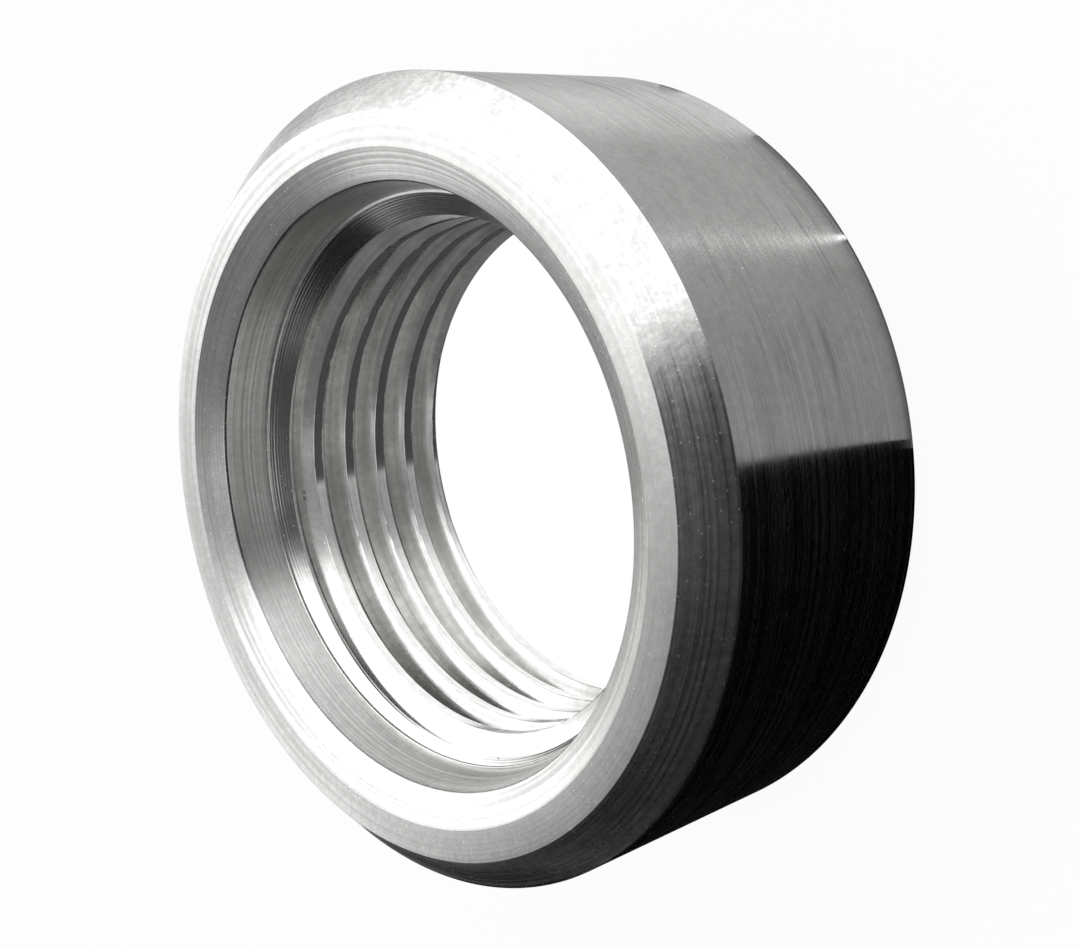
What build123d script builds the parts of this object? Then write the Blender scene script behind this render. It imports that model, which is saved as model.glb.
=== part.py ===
"""Weld bung: a short steel ring with a straight thread and an O-ring seat.

The frame has +Z up along the axis of the ring. The ring stands on its plain
back face, and the origin is the centre of that face. The mouth, with the weld
bevel and the O-ring seat, is at the top. All lengths are in millimetres and
all angles in degrees.
"""
from build123d import *
import math
import os

# Outside of the ring
outer_diameter = 38.1
overall_length = 14.5
bevel_width = 1.77
bevel_half_angle = 45.0
back_edge_chamfer = 0.5

# Mouth of the ring
countersink_depth = 0.87
countersink_half_angle = 60.0
seat_half_angle = 12.0
seat_corner_chamfer = 0.25
seat_end_depth = 3.2
seat_ledge = 0.25

# Straight thread, right-handed
thread_diameter = 27.0
thread_depth = 1.05
threads_per_inch = 12
flank_angle = 30.0
lead_in_half_angle = 45.0
thread_start_angle = 35.8
back_chamfer = 0.55

# Cutters run this far past the surfaces that they cut
overrun = 0.25

# Sizes that follow from those above
outer_radius = outer_diameter / 2
thread_radius = thread_diameter / 2
seat_end_radius = thread_radius + seat_ledge
seat_end_height = overall_length - seat_end_depth
bore_radius = thread_radius - thread_depth
pitch = 25.4 / threads_per_inch
root_flat = pitch / 8


def slope(angle):
    """Change of radius per unit of height on a cone of this half angle."""
    return math.tan(math.radians(angle))


def turned(corners, broken=None, width=0):
    """Solid turned about +Z from (radius, height) corners, with one corner broken."""
    section = make_face(Polyline(*corners, close=True))
    if broken:
        corner = section.vertices().sort_by_distance(broken)[0]
        section = chamfer(corner, width)
    return revolve(Plane.XZ * section, Axis.Z)


def blank():
    """Ring with its weld bevel, its broken back edge and a plain bore."""
    bevel_height = bevel_width / slope(bevel_half_angle)
    back_edge = (outer_radius, 0)
    corners = [
        (bore_radius, 0),
        back_edge,
        (outer_radius, overall_length - bevel_height),
        (outer_radius - bevel_width, overall_length),
        (bore_radius, overall_length),
    ]
    return turned(corners, back_edge, back_edge_chamfer)


def thread_groove():
    """Helical cutter for the thread, from below the back face to above the seat's foot.

    The middle of the groove is level with the foot of the seat at the start angle.
    """
    bottom = -pitch
    top = seat_end_height + pitch / 2
    inner_radius = bore_radius - overrun
    outer_half = root_flat / 2
    inner_half = outer_half + (thread_radius - inner_radius) * slope(flank_angle)
    corners = [
        (inner_radius, bottom - inner_half),
        (thread_radius, bottom - outer_half),
        (thread_radius, bottom + outer_half),
        (inner_radius, bottom + inner_half),
    ]
    profile = Plane.XZ * make_face(Polyline(*corners, close=True))
    path = Pos(0, 0, bottom) * Helix(pitch, top - bottom, thread_radius)
    turns_to_seat = (seat_end_height - bottom) / pitch
    return Rot(0, 0, thread_start_angle - 360 * turns_to_seat) * sweep(profile, path, is_frenet=True)


def mouth_cutter():
    """Countersink, O-ring seat and the cone that leads into the thread."""
    seat_height = seat_end_depth - countersink_depth
    seat_top_radius = seat_end_radius + seat_height * slope(seat_half_angle)
    seat_corner = (seat_top_radius, overall_length - countersink_depth)
    sink_height = countersink_depth + overrun
    corners = [
        (0, overall_length + overrun),
        (seat_top_radius + sink_height * slope(countersink_half_angle), overall_length + overrun),
        seat_corner,
        (seat_end_radius, seat_end_height),
        (0, seat_end_height - seat_end_radius / slope(lead_in_half_angle)),
    ]
    return turned(corners, seat_corner, seat_corner_chamfer)


def back_cutter():
    """Cone that breaks the edge of the bore at the back face."""
    foot_radius = bore_radius + back_chamfer
    corners = [
        (0, -overrun),
        (foot_radius + overrun, -overrun),
        (0, foot_radius),
    ]
    return turned(corners)


def weld_bung():
    """The ring, threaded through, then opened at its mouth and its back."""
    return blank() - thread_groove() - mouth_cutter() - back_cutter()


os.makedirs("parts", exist_ok=True)
export_step(weld_bung(), "parts/weld_bung.step")
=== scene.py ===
"""Looks of the weld bung: a turned steel ring with a straight thread and an O-ring seat.

The ring is one mesh that is built here, row by row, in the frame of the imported
model. It stands on its back face, with its mouth up. Lengths in the dataclasses
are in millimetres and angles in degrees, as in the part's source, and become
metres and radians where the mesh is made.
"""

import logging
import math
from dataclasses import dataclass, field
from enum import Enum

import bpy
import numpy as np
from mathutils import Matrix, Vector


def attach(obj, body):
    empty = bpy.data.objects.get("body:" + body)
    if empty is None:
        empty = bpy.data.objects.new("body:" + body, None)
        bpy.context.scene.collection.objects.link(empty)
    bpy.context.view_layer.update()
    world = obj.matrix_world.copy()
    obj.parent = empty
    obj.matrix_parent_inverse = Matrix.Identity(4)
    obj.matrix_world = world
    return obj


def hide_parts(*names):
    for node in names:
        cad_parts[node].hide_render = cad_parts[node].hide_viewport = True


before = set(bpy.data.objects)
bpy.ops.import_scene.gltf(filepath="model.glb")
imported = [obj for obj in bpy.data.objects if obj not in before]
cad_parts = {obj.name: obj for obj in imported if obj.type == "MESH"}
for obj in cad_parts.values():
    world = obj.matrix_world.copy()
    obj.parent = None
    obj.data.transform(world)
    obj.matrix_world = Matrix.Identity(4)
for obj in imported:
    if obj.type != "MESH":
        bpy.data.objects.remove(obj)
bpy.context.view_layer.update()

log = logging.getLogger("weld_bung")
MM = 0.001

Point = tuple[float, float]
Colour = tuple[float, float, float]


class Zone(Enum):
    """Turned surfaces of the ring, each with a finish of its own."""

    FACE = 0
    BEVEL = 1
    OUTSIDE = 2
    COUNTERSINK = 3
    SEAT = 4
    LEAD_IN = 5
    FLANK = 6
    CREST = 7
    EDGE = 8
    BACK = 9


class Nodes:
    """Short way to add, set and join the nodes of one tree."""

    def __init__(self, tree: bpy.types.NodeTree) -> None:
        """Take the tree that the nodes go into."""
        self.tree = tree

    def add(self, kind: str, inputs: dict | None = None, **settings: object) -> bpy.types.Node:
        """Add a node.

        Args:
            kind: Blender's name of the node type.
            inputs: values or sockets for the node's inputs, by name or number.
            settings: properties of the node.

        Returns:
            The new node.
        """
        node = self.tree.nodes.new(kind)
        for name, value in settings.items():
            setattr(node, name, value)
        for name, value in (inputs or {}).items():
            if isinstance(value, bpy.types.NodeSocket):
                self.tree.links.new(value, node.inputs[name])
            else:
                node.inputs[name].default_value = value
        return node

    def math(self, operation: str, a: object, b: object = 0.0, clamp: bool = False) -> bpy.types.NodeSocket:
        """Add a Math node.

        Args:
            operation: the node's operation.
            a: first value or socket.
            b: second value or socket.
            clamp: whether the result stays between 0 and 1.

        Returns:
            The result's socket.
        """
        return self.add("ShaderNodeMath", {0: a, 1: b}, operation=operation, use_clamp=clamp).outputs[0]

    def ramp(self, value: object, low: object, high: object, to_low: object = 0.0, to_high: object = 1.0) -> bpy.types.NodeSocket:
        """Add a smooth Map Range node.

        Args:
            value: value or socket that is mapped.
            low: where the range begins.
            high: where the range ends.
            to_low: result at the beginning.
            to_high: result at the end.

        Returns:
            The result's socket.
        """
        inputs = {"Value": value, "From Min": low, "From Max": high, "To Min": to_low, "To Max": to_high}
        return self.add("ShaderNodeMapRange", inputs, interpolation_type="SMOOTHSTEP").outputs[0]

    def noise(self, vector: bpy.types.NodeSocket, scale: float, detail: float = 2.0, rough: float = 0.5) -> bpy.types.NodeSocket:
        """Add a 3-D noise texture.

        Args:
            vector: socket with the place of each point.
            scale: scale of the noise.
            detail: octaves of the noise.
            rough: share of each finer octave.

        Returns:
            The noise's value socket.
        """
        inputs = {"Vector": vector, "Scale": scale, "Detail": detail, "Roughness": rough}
        return self.add("ShaderNodeTexNoise", inputs).outputs[0]


def new_group(name: str, inputs: dict[str, float], outputs: list[str]) -> tuple[bpy.types.NodeTree, Nodes, dict, bpy.types.Node]:
    """Start a shader node group whose inputs and outputs are plain numbers.

    Args:
        name: the group's name.
        inputs: default of each input, by its name.
        outputs: names of the outputs.

    Returns:
        The group, its node helper, its input sockets by name and its output node.
    """
    tree = bpy.data.node_groups.new(name, "ShaderNodeTree")
    for label, default in inputs.items():
        socket = tree.interface.new_socket(label, in_out="INPUT", socket_type="NodeSocketFloat")
        socket.default_value = default
    for label in outputs:
        tree.interface.new_socket(label, in_out="OUTPUT", socket_type="NodeSocketFloat")
    nodes = Nodes(tree)
    source = nodes.add("NodeGroupInput")
    sink = nodes.add("NodeGroupOutput")
    return tree, nodes, {label: source.outputs[label] for label in inputs}, sink


def section_place(nodes: Nodes, radial: object, axial: object) -> tuple[bpy.types.NodeSocket, bpy.types.NodeSocket]:
    """Place of a point across the tool's path, in mm, and its direction round the axis.

    Args:
        nodes: helper of the tree.
        radial: share of the radius in the place.
        axial: share of the height in the place.

    Returns:
        The place across the path, and the direction round the axis as a unit vector.
    """
    place = nodes.add("ShaderNodeTexCoord").outputs["Object"]
    axes = nodes.add("ShaderNodeSeparateXYZ", {0: place})
    flat = nodes.add("ShaderNodeCombineXYZ", {0: axes.outputs[0], 1: axes.outputs[1]}).outputs[0]
    radius = nodes.add("ShaderNodeVectorMath", {0: flat}, operation="LENGTH").outputs["Value"]
    around = nodes.add("ShaderNodeVectorMath", {0: flat}, operation="NORMALIZE").outputs[0]
    across = nodes.math("ADD", nodes.math("MULTIPLY", radius, radial), nodes.math("MULTIPLY", axes.outputs[2], axial))
    return nodes.math("MULTIPLY", across, 1000.0), around


def stretched(nodes: Nodes, across: bpy.types.NodeSocket, around: bpy.types.NodeSocket, fine: object, turns: object) -> bpy.types.NodeSocket:
    """Texture place that is stretched round the axis.

    Args:
        nodes: helper of the tree.
        across: place across the tool's path, in mm.
        around: direction round the axis.
        fine: how fast the place runs across the path.
        turns: how fast it runs round the axis.

    Returns:
        Socket of the place.
    """
    axes = nodes.add("ShaderNodeSeparateXYZ", {0: around})
    x = nodes.math("MULTIPLY", axes.outputs[0], turns)
    y = nodes.math("MULTIPLY", axes.outputs[1], turns)
    z = nodes.math("MULTIPLY", across, fine)
    return nodes.add("ShaderNodeCombineXYZ", {0: x, 1: y, 2: z}).outputs[0]


def turning_rings() -> bpy.types.NodeTree:
    """Group for the tool's path: fine rings whose depth wanders.

    Returns:
        The group, with outputs Height and Tone.
    """
    inputs = {"Radial": 1.0, "Axial": 0.0, "Feed": 0.12, "Wander": 0.4}
    tree, nodes, given, sink = new_group("Turning rings", inputs, ["Height", "Tone"])
    across, around = section_place(nodes, given["Radial"], given["Axial"])
    per_mm = nodes.math("DIVIDE", 1.0, given["Feed"])
    coarse = nodes.math("MULTIPLY", per_mm, 0.22)
    wide = nodes.noise(stretched(nodes, across, around, coarse, given["Wander"]), 1.0, 2.0)
    fine = nodes.noise(stretched(nodes, across, around, per_mm, given["Wander"]), 1.0, 3.0, 0.65)
    path = nodes.math("MULTIPLY", nodes.math("MULTIPLY", across, per_mm), 2 * math.pi)
    wave = nodes.math("MULTIPLY_ADD", nodes.math("SINE", path), 0.5)
    wave.node.inputs[2].default_value = 0.5
    depth = nodes.ramp(wide, 0.35, 0.65, 0.05, 0.5)
    mixed = nodes.math("ADD", nodes.math("MULTIPLY", wave, depth), nodes.math("MULTIPLY", fine, 1.1))
    nodes.tree.links.new(mixed, sink.inputs["Height"])
    tone = nodes.math("ADD", nodes.math("MULTIPLY", fine, 0.8), nodes.math("MULTIPLY", wide, 0.2))
    nodes.tree.links.new(nodes.ramp(tone, 0.3, 0.7), sink.inputs["Tone"])
    return tree


def handling_marks() -> bpy.types.NodeTree:
    """Group for streaks round the axis, specks, fine mottling and clouded tone.

    Returns:
        The group, with outputs Streaks, Specks, Mottle and Clouds.
    """
    inputs = {
        "Radial": 1.0, "Axial": 0.0, "Streak width": 0.6, "Worn side": 0.9, "Speck size": 0.12, "Speck share": 0.05,
    }
    tree, nodes, given, sink = new_group("Handling marks", inputs, ["Streaks", "Specks", "Mottle", "Clouds"])
    across, around = section_place(nodes, given["Radial"], given["Axial"])
    place = nodes.add("ShaderNodeTexCoord").outputs["Object"]
    narrow = nodes.math("DIVIDE", 1.0, given["Streak width"])
    streaks = nodes.ramp(nodes.noise(stretched(nodes, across, around, narrow, 1.5), 1.0, 4.0, 0.7), 0.44, 0.68)
    side = nodes.add("ShaderNodeCombineXYZ", {
        0: nodes.math("COSINE", given["Worn side"]), 1: nodes.math("SINE", given["Worn side"]),
    }).outputs[0]
    facing = nodes.add("ShaderNodeVectorMath", {0: around, 1: side}, operation="DOT_PRODUCT").outputs["Value"]
    patches = nodes.ramp(nodes.noise(place, 120.0, 1.0), 0.4, 0.62, 0.25, 1.0)
    patches = nodes.math("MULTIPLY", patches, nodes.ramp(facing, 0.55, 0.95, 0.12, 1.0))
    nodes.tree.links.new(nodes.math("MULTIPLY", streaks, patches), sink.inputs["Streaks"])
    nodes.tree.links.new(nodes.ramp(nodes.noise(place, 2600.0, 3.0, 0.7), 0.3, 0.7), sink.inputs["Mottle"])
    cells = nodes.math("DIVIDE", 1000.0, given["Speck size"])
    dots = nodes.add("ShaderNodeTexVoronoi", {"Vector": place, "Scale": cells})
    lot = nodes.add("ShaderNodeSeparateXYZ", {0: dots.outputs["Color"]}).outputs[0]
    chosen = nodes.math("LESS_THAN", lot, given["Speck share"])
    core = nodes.ramp(dots.outputs["Distance"], 0.18, 0.42, 1.0, 0.0)
    nodes.tree.links.new(nodes.math("MULTIPLY", chosen, core), sink.inputs["Specks"])
    nodes.tree.links.new(nodes.ramp(nodes.noise(place, 330.0, 4.0, 0.6), 0.3, 0.7), sink.inputs["Clouds"])
    return tree


@dataclass(frozen=True)
class SteelFinish:
    """One turned surface: its colour, gloss and tool marks.

    The surface's section runs `radial` parts outward for `axial` parts upward, and
    `feed` is the step of the tool's path in mm.
    """

    name: str
    colour: Colour = (0.60, 0.60, 0.59)
    roughness: float = 0.28
    spread: float = 0.75
    radial: float = 1.0
    axial: float = 0.0
    feed: float = 0.12
    wander: float = 0.4
    ring_depth: float = 0.0012
    ring_tone: float = 0.1
    streak_tone: float = 0.0
    streak_width: float = 0.6
    speck_tone: float = 0.4
    speck_share: float = 0.02
    mottle_tone: float = 0.05
    mottle_depth: float = 0.3
    cloud_tone: float = 0.04

    def material(self, rings: bpy.types.NodeTree, marks: bpy.types.NodeTree) -> bpy.types.Material:
        """Make the finish's material.

        Args:
            rings: the group of turning rings.
            marks: the group of handling marks.

        Returns:
            The material.
        """
        made = bpy.data.materials.new(self.name)
        made.use_nodes = True
        nodes = Nodes(made.node_tree)
        shader = made.node_tree.nodes["Principled BSDF"]
        path = self.group(nodes, rings, {"Feed": self.feed, "Wander": self.wander})
        wear = self.group(nodes, marks, {"Streak width": self.streak_width, "Speck share": self.speck_share})
        tone = nodes.ramp(path.outputs["Tone"], 0.0, 1.0, 1.0 - self.ring_tone, 1.0 + self.ring_tone)
        tone = nodes.math("MULTIPLY", tone, nodes.ramp(wear.outputs["Streaks"], 0.0, 1.0, 1.0, 1.0 - self.streak_tone))
        clouds = nodes.ramp(wear.outputs["Clouds"], 0.0, 1.0, 1.0 - self.cloud_tone, 1.0 + self.cloud_tone)
        tone = nodes.math("MULTIPLY", tone, clouds)
        mottle = nodes.ramp(wear.outputs["Mottle"], 0.0, 1.0, 1.0 - self.mottle_tone, 1.0 + self.mottle_tone)
        tone = nodes.math("MULTIPLY", tone, mottle)
        tone = nodes.math("ADD", tone, nodes.math("MULTIPLY", wear.outputs["Specks"], self.speck_tone))
        colour = nodes.add("ShaderNodeVectorMath", {0: self.colour, "Scale": tone}, operation="SCALE").outputs[0]
        capped = nodes.add("ShaderNodeVectorMath", {0: colour, 1: (0.97, 0.97, 0.97)}, operation="MINIMUM").outputs[0]
        made.node_tree.links.new(capped, shader.inputs["Base Color"])
        rough = nodes.ramp(path.outputs["Tone"], 0.0, 1.0, self.roughness * 1.25, self.roughness * 0.8)
        rough = nodes.math("ADD", rough, nodes.math("MULTIPLY", wear.outputs["Specks"], 0.2))
        made.node_tree.links.new(rough, shader.inputs["Roughness"])
        grain = nodes.math("MULTIPLY", wear.outputs["Mottle"], self.mottle_depth)
        height = nodes.math("ADD", path.outputs["Height"], grain)
        bump = nodes.add("ShaderNodeBump", {"Height": height, "Distance": self.ring_depth * MM})
        made.node_tree.links.new(bump.outputs[0], shader.inputs["Normal"])
        tangent = nodes.add("ShaderNodeTangent", direction_type="RADIAL", axis="Z")
        made.node_tree.links.new(tangent.outputs[0], shader.inputs["Tangent"])
        shader.inputs["Metallic"].default_value = 1.0
        shader.inputs["Anisotropic"].default_value = self.spread
        shader.inputs["Anisotropic Rotation"].default_value = 0.25
        return made

    def group(self, nodes: Nodes, tree: bpy.types.NodeTree, values: dict[str, float]) -> bpy.types.Node:
        """Place a shared group in the material.

        Args:
            nodes: helper of the material's tree.
            tree: the group.
            values: the group's inputs that are this finish's own.

        Returns:
            The group's node.
        """
        inputs = {"Radial": self.radial, "Axial": self.axial, **values}
        return self.placed(nodes, tree, inputs)

    @staticmethod
    def placed(nodes: Nodes, tree: bpy.types.NodeTree, inputs: dict[str, float]) -> bpy.types.Node:
        """Add a group node and set its inputs once it has them."""
        node = nodes.add("ShaderNodeGroup")
        node.node_tree = tree
        for name, value in inputs.items():
            node.inputs[name].default_value = value
        return node


FINISHES: dict[Zone, SteelFinish] = {
    Zone.FACE: SteelFinish("faced_land", feed=0.24, ring_depth=0.003, ring_tone=0.07, speck_share=0.04, mottle_depth=0.6),
    Zone.BEVEL: SteelFinish(
        "turned_bevel", radial=0.7, axial=-0.7, spread=0.5, ring_depth=0.0004, ring_tone=0.02, speck_share=0.05,
        mottle_tone=0.12, mottle_depth=3.6, cloud_tone=0.08,
    ),
    Zone.OUTSIDE: SteelFinish(
        "turned_outside", radial=0.0, axial=1.0, feed=0.1, roughness=0.24, spread=0.93, ring_tone=0.07,
        streak_tone=0.42, streak_width=0.42, speck_share=0.006,
    ),
    Zone.COUNTERSINK: SteelFinish(
        "turned_countersink", radial=0.87, axial=0.5, feed=0.15, ring_tone=0.22, ring_depth=0.005, spread=0.6,
        mottle_tone=0.05, mottle_depth=0.12, speck_share=0.06,
    ),
    Zone.SEAT: SteelFinish(
        "turned_seat", colour=(0.7, 0.7, 0.69), radial=0.2, axial=0.98, feed=0.24, ring_depth=0.014,
        roughness=0.34, spread=0.88, wander=0.12, mottle_depth=0.0, speck_tone=0.0,
    ),
    Zone.LEAD_IN: SteelFinish(
        "turned_lead_in", radial=0.7, axial=0.7, feed=0.15, ring_depth=0.008, ring_tone=0.12, roughness=0.18,
        spread=0.5, wander=0.12, mottle_depth=0.0, speck_tone=0.0,
    ),
    Zone.FLANK: SteelFinish(
        "cut_flanks", radial=0.86, axial=0.5, feed=0.2, ring_depth=0.0005, roughness=0.16, spread=0.4,
        speck_share=0.004, cloud_tone=0.08, mottle_depth=0.1,
    ),
    Zone.CREST: SteelFinish(
        "bored_crests", radial=0.0, axial=1.0, feed=0.09, roughness=0.13, spread=0.3, speck_tone=0.0, mottle_depth=0.1,
        ring_depth=0.0005,
    ),
    Zone.EDGE: SteelFinish("broken_edges", radial=0.7, axial=0.7, feed=0.09, roughness=0.2, spread=0.3),
    Zone.BACK: SteelFinish("faced_back", feed=0.18, ring_depth=0.0022, ring_tone=0.15),
}


@dataclass
class MeshRows:
    """Points and faces that are gathered before they become one mesh."""

    points: list = field(default_factory=list)
    faces: list = field(default_factory=list)
    zones: list = field(default_factory=list)

    def add_points(self, rows: np.ndarray) -> np.ndarray:
        """Add points.

        Args:
            rows: array of points, the last axis x, y and z.

        Returns:
            Numbers of the new points, in the shape of the array.
        """
        first = len(self.points)
        flat = rows.reshape(-1, 3)
        self.points.extend(map(tuple, flat))
        return np.arange(first, first + len(flat)).reshape(rows.shape[:-1])

    def add_face(self, corners: tuple[int, ...], zone: Zone) -> None:
        """Add a face, leaving out corners that fall together.

        Args:
            corners: numbers of the face's points, in order.
            zone: the surface that the face belongs to.
        """
        kept = [c for i, c in enumerate(corners) if c != corners[i - 1]]
        if len(set(kept)) >= 3:
            self.faces.append(tuple(kept))
            self.zones.append(zone.value)


@dataclass
class WeldBung:
    """The ring: its turned section and its straight thread, right-handed."""

    outer_radius: float = 19.05
    overall_length: float = 14.5
    bevel_width: float = 1.77
    back_edge_round: float = 0.6
    face_inner_radius: float = 15.752
    seat_corner: Point = (14.245, 13.63)
    seat_corner_round: float = 0.25
    lip: tuple[Point, ...] = ((13.63, 11.27), (13.635, 11.32), (13.65, 11.36), (13.68, 11.385), (13.79, 11.4))
    lead_in_top: Point = (13.66, 11.21)
    edge_round: float = 0.05
    thread_radius: float = 13.58
    bore_radius: float = 12.45
    pitch: float = 25.4 / 12
    root_flat: float = 25.4 / 12 / 8
    flank_slope: float = math.tan(math.radians(30))
    thread_start_angle: float = 35.8
    thread_start_height: float = 11.3
    crest_round: float = 0.012
    root_round: float = 0.1
    back_chamfer: float = 0.55
    burr: float = 0.004
    columns: int = 480
    seed: int = 7

    def build(self) -> bpy.types.Object:
        """Make the ring's mesh and object, without materials.

        Returns:
            The object, standing on z = 0.
        """
        rows = MeshRows()
        top_ring, bottom_ring = self.bore(rows)
        self.outside(rows, top_ring, bottom_ring)
        mesh = bpy.data.meshes.new("threaded_ring")
        mesh.from_pydata([tuple(MM * c for c in p) for p in rows.points], [], rows.faces)
        mesh.polygons.foreach_set("material_index", rows.zones)
        mesh.polygons.foreach_set("use_smooth", [True] * len(rows.faces))
        mesh.validate()
        mesh.set_sharp_from_angle(angle=math.radians(24))
        made = bpy.data.objects.new("threaded_ring", mesh)
        bpy.context.scene.collection.objects.link(made)
        return made

    def dress(self, ring: bpy.types.Object) -> None:
        """Give each turned surface its finish.

        Args:
            ring: the object that build() made.
        """
        rings = turning_rings()
        marks = handling_marks()
        for zone in Zone:
            ring.data.materials.append(FINISHES[zone].material(rings, marks))

    def angles(self) -> np.ndarray:
        """Angle of each column round the axis, in radians."""
        return np.arange(self.columns) * 2 * math.pi / self.columns

    def circle(self, radius: np.ndarray, height: np.ndarray) -> np.ndarray:
        """Points with one radius and height for each column.

        Args:
            radius: radii, the last axis one per column.
            height: heights in the same shape.

        Returns:
            Array of points.
        """
        around = self.angles()
        return np.stack([radius * np.cos(around), radius * np.sin(around), height + 0 * around], axis=-1)

    def thread_profile(self, across: np.ndarray) -> np.ndarray:
        """Radius of the thread's section.

        Args:
            across: distance along the axis from the middle of the nearest groove.

        Returns:
            Radius of the surface there, with its edges eased.
        """
        flank = self.thread_radius - (np.abs(across) - self.root_flat / 2) / self.flank_slope
        eased = self.smooth_max(flank, self.bore_radius, self.crest_round)
        return -self.smooth_max(-eased, -self.thread_radius, self.root_round)

    @staticmethod
    def smooth_max(a: np.ndarray, b: np.ndarray | float, ease: float) -> np.ndarray:
        """Greater of two values, with the change between them rounded over `ease`."""
        share = np.clip(0.5 + 0.5 * (a - b) / ease, 0, 1)
        return a * share + b * (1 - share) + ease * share * (1 - share) * 0.5

    def profile_stations(self) -> np.ndarray:
        """Distances from the groove's middle at which a turn of the thread has its rows."""
        root_edge = self.root_flat / 2
        crest_edge = root_edge + (self.thread_radius - self.bore_radius) * self.flank_slope
        half = [
            0.0, root_edge - 0.06, root_edge - 0.02, root_edge + 0.02, root_edge + 0.06,
            root_edge + 0.35 * (crest_edge - root_edge), root_edge + 0.7 * (crest_edge - root_edge),
            crest_edge - 0.03, crest_edge - 0.006, crest_edge + 0.006, crest_edge + 0.03,
            0.5 * (crest_edge + self.pitch / 2),
        ]
        return np.array(sorted([-h for h in half if h > 0] + half + [self.pitch / 2]))

    def bore(self, rows: MeshRows) -> tuple[np.ndarray, np.ndarray]:
        """Add the lead-in cone, the thread and the chamfer at the back.

        The rows follow the thread, and those that would pass an end stop there.

        Args:
            rows: where the points and faces go.

        Returns:
            Numbers of the points round the top and round the bottom.
        """
        stations = self.profile_stations()
        per_turn = len(stations)
        turns = int(self.lead_in_top[1] / self.pitch) + 3
        offsets = np.concatenate([stations + self.pitch * (k - turns) for k in range(turns + 2)])
        share = np.degrees(self.angles()) / 360
        middle = self.thread_start_height + self.pitch * (share - self.thread_start_angle / 360)
        height = np.clip(middle[None, :] + offsets[:, None], 0, self.lead_in_top[1])
        height = self.snap_to_cones(height, middle)
        across = (height - middle[None, :] + self.pitch / 2) % self.pitch - self.pitch / 2
        thread = self.thread_profile(across)
        lead_in = self.lead_in_top[0] - (self.lead_in_top[1] - height)
        back = self.bore_radius + self.back_chamfer - height
        radius = np.maximum(np.maximum(thread, lead_in), back)
        radius = radius - self.burr_height(across, radius)
        numbers = rows.add_points(self.circle(radius, height))
        below = (height <= 0).sum(axis=0) - 1
        above = (height < self.lead_in_top[1]).sum(axis=0)
        for column in range(self.columns):
            numbers[:below[column], column] = numbers[below[column], column]
            numbers[above[column]:, column] = numbers[above[column], column]
        last = len(offsets) - 1
        for column in range(self.columns):
            beside = (column + 1) % self.columns
            shift = per_turn if beside == 0 else 0
            for row in range(last):
                low, high = min(row + shift, last), min(row + 1 + shift, last)
                corners = (numbers[row, column], numbers[row + 1, column], numbers[high, beside], numbers[low, beside])
                middle_height = (height[row, column] + height[row + 1, column]) / 2
                middle_across = (middle_height - middle[column] + self.pitch / 2) % self.pitch - self.pitch / 2
                rows.add_face(tuple(int(c) for c in corners), self.bore_zone(middle_height, middle_across))
        top = np.array([numbers[above[c], c] for c in range(self.columns)])
        bottom = np.array([numbers[below[c], c] for c in range(self.columns)])
        return top, bottom

    def snap_to_cones(self, height: np.ndarray, middle: np.ndarray) -> np.ndarray:
        """Move rows onto the lines where the thread meets the lead-in and the chamfer.

        Args:
            height: heights of the rows, one column each.
            middle: height of a groove's middle in each column.

        Returns:
            The heights with those rows moved.
        """
        fine = np.linspace(0, self.lead_in_top[1], 2400)
        for column in range(height.shape[1]):
            across = (fine - middle[column] + self.pitch / 2) % self.pitch - self.pitch / 2
            thread = self.thread_profile(across)
            for cone in (self.lead_in_top[0] - (self.lead_in_top[1] - fine), self.bore_radius + self.back_chamfer - fine):
                for place in np.nonzero(np.diff(np.sign(cone - thread)))[0]:
                    nearest = int(np.argmin(np.abs(height[:, column] - fine[place])))
                    inside = 0 < height[nearest, column] < self.lead_in_top[1]
                    if inside:
                        height[nearest, column] = fine[place]
        return height

    def burr_height(self, across: np.ndarray, radius: np.ndarray) -> np.ndarray:
        """Small uneven burr that stands inward along the edges of the crests.

        Args:
            across: distance from the middle of the nearest groove.
            radius: radius of the surface.

        Returns:
            Height of the burr.
        """
        crest_edge = self.root_flat / 2 + (self.thread_radius - self.bore_radius) * self.flank_slope
        chance = np.random.default_rng(self.seed).random(across.shape)
        chance = (chance + np.roll(chance, 1, axis=1) + np.roll(chance, 2, axis=1)) / 3
        near = np.exp(-((np.abs(across) - crest_edge) / 0.02) ** 2)
        on_crest = radius < self.bore_radius + 0.05
        return self.burr * near * np.clip((chance - 0.45) * 4, 0, 1) * on_crest

    def bore_zone(self, height: float, across: float) -> Zone:
        """Surface that a place in the bore belongs to.

        Args:
            height: its height.
            across: its distance from the middle of the nearest groove.

        Returns:
            The zone.
        """
        thread = float(self.thread_profile(np.array(across)))
        if self.lead_in_top[0] - (self.lead_in_top[1] - height) > thread:
            return Zone.LEAD_IN
        if self.bore_radius + self.back_chamfer - height > thread:
            return Zone.EDGE
        if thread < self.bore_radius + 0.03:
            return Zone.CREST
        return Zone.FLANK

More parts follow.
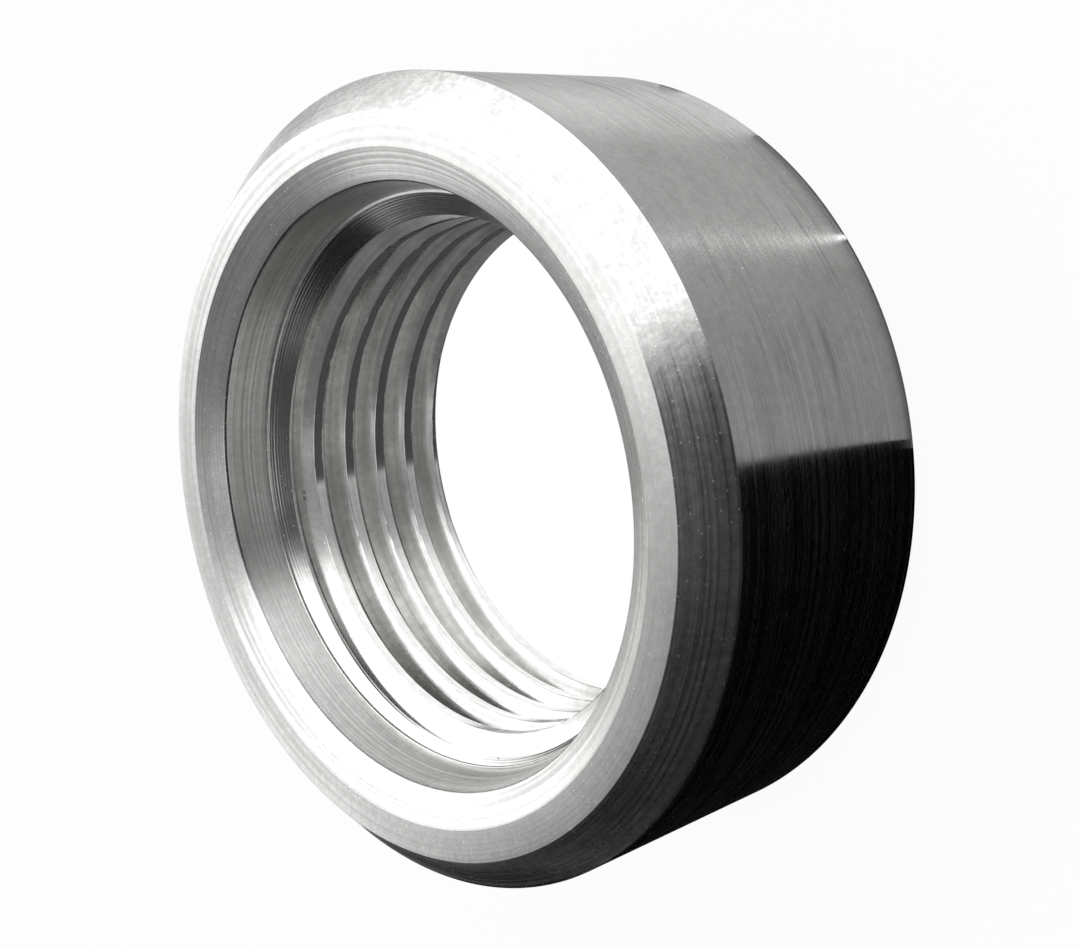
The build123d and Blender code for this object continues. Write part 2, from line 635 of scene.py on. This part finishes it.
    @staticmethod
    def eased_corner(before: Point, corner: Point, after: Point, size: float, steps: int) -> list[Point]:
        """Arc that rounds a corner of the section.

        Args:
            before: point before the corner.
            corner: the corner.
            after: point after the corner.
            size: radius of the arc.
            steps: how many chords it has.

        Returns:
            Points of the arc, from the side of `before`.
        """
        here = np.array(corner)
        back = np.array(before) - here
        ahead = np.array(after) - here
        back /= np.linalg.norm(back)
        ahead /= np.linalg.norm(ahead)
        half = math.acos(float(np.clip(back @ ahead, -1, 1))) / 2
        reach = size / math.tan(half)
        start = here + back * reach
        end = here + ahead * reach
        centre = here + (back + ahead) / np.linalg.norm(back + ahead) * size / math.sin(half)
        first = math.atan2(*(start - centre)[::-1])
        sweep = (math.atan2(*(end - centre)[::-1]) - first + math.pi) % (2 * math.pi) - math.pi
        turns = [first + sweep * i / steps for i in range(steps + 1)]
        return [(float(centre[0] + size * math.cos(t)), float(centre[1] + size * math.sin(t))) for t in turns]

    def section(self) -> list[tuple[Point, Zone]]:
        """Outside of the ring's section, from the seat's lip over the face to the back.

        Returns:
            Points, each with the zone of the surface that leads to it.
        """
        bevel_foot = (self.outer_radius, self.overall_length - self.bevel_width)
        face_edge = (self.outer_radius - self.bevel_width, self.overall_length)
        sink_edge = (self.face_inner_radius, self.overall_length)
        back_edge = (self.outer_radius, 0.0)
        back_inner = (self.bore_radius + self.back_chamfer, 0.0)
        line = [(point, Zone.EDGE) for point in self.lip]
        corners = [
            (self.lip[-1], self.seat_corner, sink_edge, self.seat_corner_round, 6, Zone.SEAT),
            (self.seat_corner, sink_edge, face_edge, self.edge_round, 3, Zone.COUNTERSINK),
            (sink_edge, face_edge, bevel_foot, self.edge_round, 3, Zone.FACE),
            (face_edge, bevel_foot, back_edge, self.edge_round, 3, Zone.BEVEL),
            (bevel_foot, back_edge, back_inner, self.back_edge_round, 7, Zone.OUTSIDE),
        ]
        for before, corner, after, size, steps, zone in corners:
            arc = self.eased_corner(before, corner, after, size, steps)
            line.append((arc[0], zone))
            line.extend((point, Zone.EDGE) for point in arc[1:])
        return line

    def outside(self, rows: MeshRows, top: np.ndarray, bottom: np.ndarray) -> None:
        """Add all surfaces outside the bore.

        Args:
            rows: where the points and faces go.
            top: numbers of the points round the top of the lead-in cone.
            bottom: numbers of the points where the back chamfer meets the back face.
        """
        line = self.section()
        ones = np.ones(self.columns)
        rings = [rows.add_points(self.circle(point[0] * ones, point[1] * ones)) for point, _ in line]
        zones = [zone for _, zone in line]
        chain = [top] + rings + [bottom]
        for index, zone in enumerate(zones + [Zone.BACK]):
            inner, outer = chain[index], chain[index + 1]
            for column in range(self.columns):
                beside = (column + 1) % self.columns
                corners = (inner[column], outer[column], outer[beside], inner[beside])
                rows.add_face(tuple(int(c) for c in corners), zone)


@dataclass(frozen=True)
class Glow:
    """Even light of a card, whose edges fade over `feather`, a share of its width and height."""

    strength: float
    feather: tuple[float, float] = (0.0, 0.0)
    tint: Colour = (1.0, 1.0, 1.0)

    def material(self, name: str) -> bpy.types.Material:
        """Make the card's material.

        Args:
            name: the material's name.

        Returns:
            The material.
        """
        made = bpy.data.materials.new(name)
        made.use_nodes = True
        tree = made.node_tree
        tree.nodes.remove(tree.nodes["Principled BSDF"])
        nodes = Nodes(tree)
        glow = nodes.add("ShaderNodeEmission", {"Color": (*self.tint, 1.0), "Strength": self.strength})
        result = glow.outputs[0]
        if any(self.feather):
            place = nodes.add("ShaderNodeSeparateXYZ", {0: nodes.add("ShaderNodeUVMap").outputs[0]})
            shares = []
            for axis, feather in enumerate(self.feather):
                side = nodes.math("ABSOLUTE", nodes.math("SUBTRACT", place.outputs[axis], 0.5))
                shares.append(nodes.ramp(side, 0.5 - feather, 0.5, 1.0, 0.0))
            clear = nodes.add("ShaderNodeBsdfTransparent").outputs[0]
            share = nodes.math("MULTIPLY", shares[0], shares[1])
            result = nodes.add("ShaderNodeMixShader", {0: share, 1: clear, 2: result}).outputs[0]
        tree.links.new(result, tree.nodes["Material Output"].inputs["Surface"])
        return made


def stage_card(name: str, mesh: bpy.types.Mesh, glow: Glow) -> bpy.types.Object:
    """Put a card on the set, seen only in the metal.

    Args:
        name: the card's name.
        mesh: its mesh.
        glow: its light.

    Returns:
        The card.
    """
    card = bpy.data.objects.new(name, mesh)
    bpy.context.scene.collection.objects.link(card)
    mesh.materials.append(glow.material(name))
    card.visible_camera = False
    card.visible_diffuse = False
    card.visible_shadow = False
    return card


@dataclass(frozen=True)
class ArcCard:
    """Curved card round the set, from one direction to another and up to a height."""

    name: str
    turn_from: float
    turn_to: float
    rise_from: float
    rise_to: float
    glow: Glow
    distance: float = 0.5
    steps: int = 24

    def build(self) -> bpy.types.Object:
        """Make the card.

        Returns:
            The card's object.
        """
        points, faces, places = [], [], []
        for i in range(self.steps + 1):
            for j in range(self.steps + 1):
                turn = math.radians(self.turn_from + (self.turn_to - self.turn_from) * i / self.steps)
                rise = math.radians(self.rise_from + (self.rise_to - self.rise_from) * j / self.steps)
                flat = math.cos(rise)
                points.append(Vector((flat * math.cos(turn), flat * math.sin(turn), math.sin(rise))) * self.distance)
                places.append((i / self.steps, j / self.steps))
        width = self.steps + 1
        for i in range(self.steps):
            for j in range(self.steps):
                first = i * width + j
                faces.append((first, first + 1, first + width + 1, first + width))
        mesh = bpy.data.meshes.new(self.name)
        mesh.from_pydata(points, [], faces)
        layer = mesh.uv_layers.new(name="place")
        for loop in mesh.loops:
            layer.data[loop.index].uv = places[loop.vertex_index]
        return stage_card(self.name, mesh, self.glow)


@dataclass(frozen=True)
class FloorMat:
    """Flat mat on the floor beside the ring."""

    name: str
    corners: tuple[Point, ...]
    glow: Glow
    lift: float = 0.1

    def build(self) -> bpy.types.Object:
        """Make the mat.

        Returns:
            The mat's object.
        """
        mesh = bpy.data.meshes.new(self.name)
        points = [(x * MM, y * MM, self.lift * MM) for x, y in self.corners]
        mesh.from_pydata(points, [], [tuple(range(len(points)))])
        return stage_card(self.name, mesh, self.glow)


def arc_strip(first: int, last: int, inner: float, outer: float) -> tuple[Point, ...]:
    """Outline of a curved strip round the ring's foot.

    Args:
        first: angle at which it begins.
        last: angle at which it ends.
        inner: its inner radius.
        outer: its outer radius.

    Returns:
        The corners.
    """
    steps = (last - first) // 2
    turns = [math.radians(first + (last - first) * i / steps) for i in range(steps + 1)]
    far = [(outer * math.cos(t), outer * math.sin(t)) for t in turns]
    near = [(inner * math.cos(t), inner * math.sin(t)) for t in reversed(turns)]
    return tuple(far + near)


@dataclass
class Studio:
    """Pale floor, plain light, cards and the camera."""

    floor_size: float = 4.0
    opening_radius: float = 13.2
    opening_steps: int = 96
    floor_colour: Colour = (0.95, 0.95, 0.95)
    floor_glow: float = 0.93
    world_level: float = 0.8
    camera_place: tuple[float, float, float] = (56.801, 7.923, 60.233)
    camera_right: tuple[float, float, float] = (0.70363, -0.10591, -0.70263)
    camera_up: tuple[float, float, float] = (0.0, 0.98883, -0.14906)
    focal_length: float = 52.906
    cards: tuple[ArcCard, ...] = (
        ArcCard("bright_card", 28, 187, 2, 80, Glow(1.95, (0.1, 0.04)), 0.50),
        ArcCard("small_bright_card", 191, 206, 26, 39, Glow(1.9, (0.3, 0.3)), 0.49),
        ArcCard("far_grey_card", 186, 214, 36, 64, Glow(0.5, (0.15, 0.1)), 0.50),
        ArcCard("side_black_card", 229, 389, -2, 40, Glow(0.015, (0.05, 0.1)), 0.50),
        ArcCard("near_black_card", 285, 389, 30, 66, Glow(0.08, (0.1, 0.1)), 0.51),
        ArcCard("side_grey_card", 208, 300, 26, 82, Glow(0.22, (0.08, 0.08)), 0.54),
        ArcCard("turning_grey_card", 0, 60, -2, 80, Glow(0.3, (0.1, 0.05)), 0.56),
        ArcCard("overhead_card", 0, 359.9, 78, 90, Glow(0.4), 0.58),
        ArcCard("lower_grey_card", -8, 75, -88, -2, Glow(0.5, (0.12, 0.02)), 0.50),
        ArcCard("lower_bright_card", 18, 184, -88, -2, Glow(1.5, (0.2, 0.02)), 0.49),
        ArcCard("lower_black_card", 178, 358, -88, -29, Glow(0.08, (0.02, 0.04)), 0.51),
        ArcCard("lower_side_card", 178, 362, -34, -2, Glow(0.55, (0.02, 0.02)), 0.53),
        ArcCard("low_grey_card", 210, 245, -2, 30, Glow(0.4, (0.2, 0.1)), 0.545),
    )
    mats: tuple[FloorMat, ...] = (
        FloorMat(
            "black_mat",
            ((19.1, 0.4), (400, 3), (400, -400), (-300, -400), (-300, -200), (-60, -52), (-26, -26), (-17.5, -9), (0, -19.2)),
            Glow(0.0),
        ),
        FloorMat("grey_mat", ((19.1, 0.4), (400, 3), (400, 60), (60, 90), (17.3, 8.0)), Glow(0.38)),
        FloorMat("pale_grey_mat", ((17.3, 8.0), (60, 90), (-60, 90), (-60, 30), (-5, 18.5), (0, 19.2)), Glow(0.5)),
        FloorMat("streak_mat", ((16.6, 9.45), (44.6, 61.8), (43.7, 62.3), (16.45, 9.6)), Glow(2.2), 0.2),
        FloorMat("pale_streak_mat", ((12.2, 14.6), (0, 66), (-30, 56), (8.2, 17.2)), Glow(0.85), 0.2),
        # Painted shade: a dark strip round one side of the ring's foot, seen only in the metal, so that the rounded
        # back edge shows a painted reflection of contact shade.
        FloorMat("painted_foot_shade_mat", arc_strip(0, 70, 17.5, 19.45), Glow(0.12), 0.15),
    )

    def build(self) -> None:
        """Make the whole set."""
        self.floor()
        self.light()
        for card in self.cards:
            card.build()
        for mat in self.mats:
            mat.build()
        self.camera()
        bpy.context.scene.view_settings.view_transform = "Standard"

    def background_share(self, nodes: Nodes) -> bpy.types.NodeSocket:
        """Share of a ray that sees the plain background: straight, in metal or through glass."""
        path = nodes.add("ShaderNodeLightPath").outputs
        seen = nodes.math("MAXIMUM", path["Is Camera Ray"], path["Is Glossy Ray"])
        return nodes.math("MAXIMUM", seen, path["Is Transmission Ray"])

    def floor(self) -> bpy.types.Object:
        """Make the pale floor, which keeps a soft shadow of the ring.

        Returns:
            The floor.
        """
        mesh = bpy.data.meshes.new("floor")
        steps = self.opening_steps
        turns = [2 * math.pi * i / steps for i in range(steps)]
        reaches = (self.opening_radius * MM, self.floor_size / 2)
        points = [(reach * math.cos(t), reach * math.sin(t), 0.0) for reach in reaches for t in turns]
        mesh.from_pydata(points, [], [(i, steps + i, steps + (i + 1) % steps, (i + 1) % steps) for i in range(steps)])
        floor = bpy.data.objects.new("floor", mesh)
        bpy.context.scene.collection.objects.link(floor)
        made = bpy.data.materials.new("pale_floor")
        made.use_nodes = True
        nodes = Nodes(made.node_tree)
        shader = made.node_tree.nodes["Principled BSDF"]
        shader.inputs["Base Color"].default_value = (*self.floor_colour, 1.0)
        shader.inputs["Roughness"].default_value = 0.9
        glow = nodes.add("ShaderNodeEmission", {"Strength": 1.0}).outputs[0]
        share = nodes.math("MULTIPLY", self.background_share(nodes), self.floor_glow)
        mixed = nodes.add("ShaderNodeMixShader", {0: share, 1: shader.outputs[0], 2: glow}).outputs[0]
        made.node_tree.links.new(mixed, made.node_tree.nodes["Material Output"].inputs["Surface"])
        mesh.materials.append(made)
        return floor

    def light(self) -> None:
        """Make the world: plain soft light, and white where it is seen."""
        world = bpy.data.worlds.new("soft_light")
        bpy.context.scene.world = world
        world.use_nodes = True
        nodes = Nodes(world.node_tree)
        sky = world.node_tree.nodes["Background"]
        strength = nodes.ramp(self.background_share(nodes), 0.0, 1.0, self.world_level, 1.0)
        world.node_tree.links.new(strength, sky.inputs["Strength"])
        sky.inputs["Color"].default_value = (1.0, 1.0, 1.0, 1.0)

    def camera(self) -> bpy.types.Object:
        """Make the camera at the photograph's place.

        Returns:
            The camera.
        """
        right = Vector(self.camera_right).normalized()
        up = Vector(self.camera_up).normalized()
        back = right.cross(up)
        data = bpy.data.cameras.new("camera")
        data.lens = self.focal_length
        data.sensor_width = 36.0
        data.clip_start = 0.001
        camera = bpy.data.objects.new("camera", data)
        bpy.context.scene.collection.objects.link(camera)
        turned = Matrix((right, up, back)).transposed().to_4x4()
        camera.matrix_world = Matrix.Translation(Vector(self.camera_place) * MM) @ turned
        bpy.context.scene.camera = camera
        return camera


def main() -> None:
    """Build the ring and the set, and report each piece."""
    logging.basicConfig(level=logging.INFO, format="%(message)s")
    bung = WeldBung()
    ring = bung.build()
    bung.dress(ring)
    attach(ring, "root")
    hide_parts("weld_bung")
    log.info("threaded_ring: %d faces", len(ring.data.polygons))
    Studio().build()


if __name__ == "__main__":
    main()
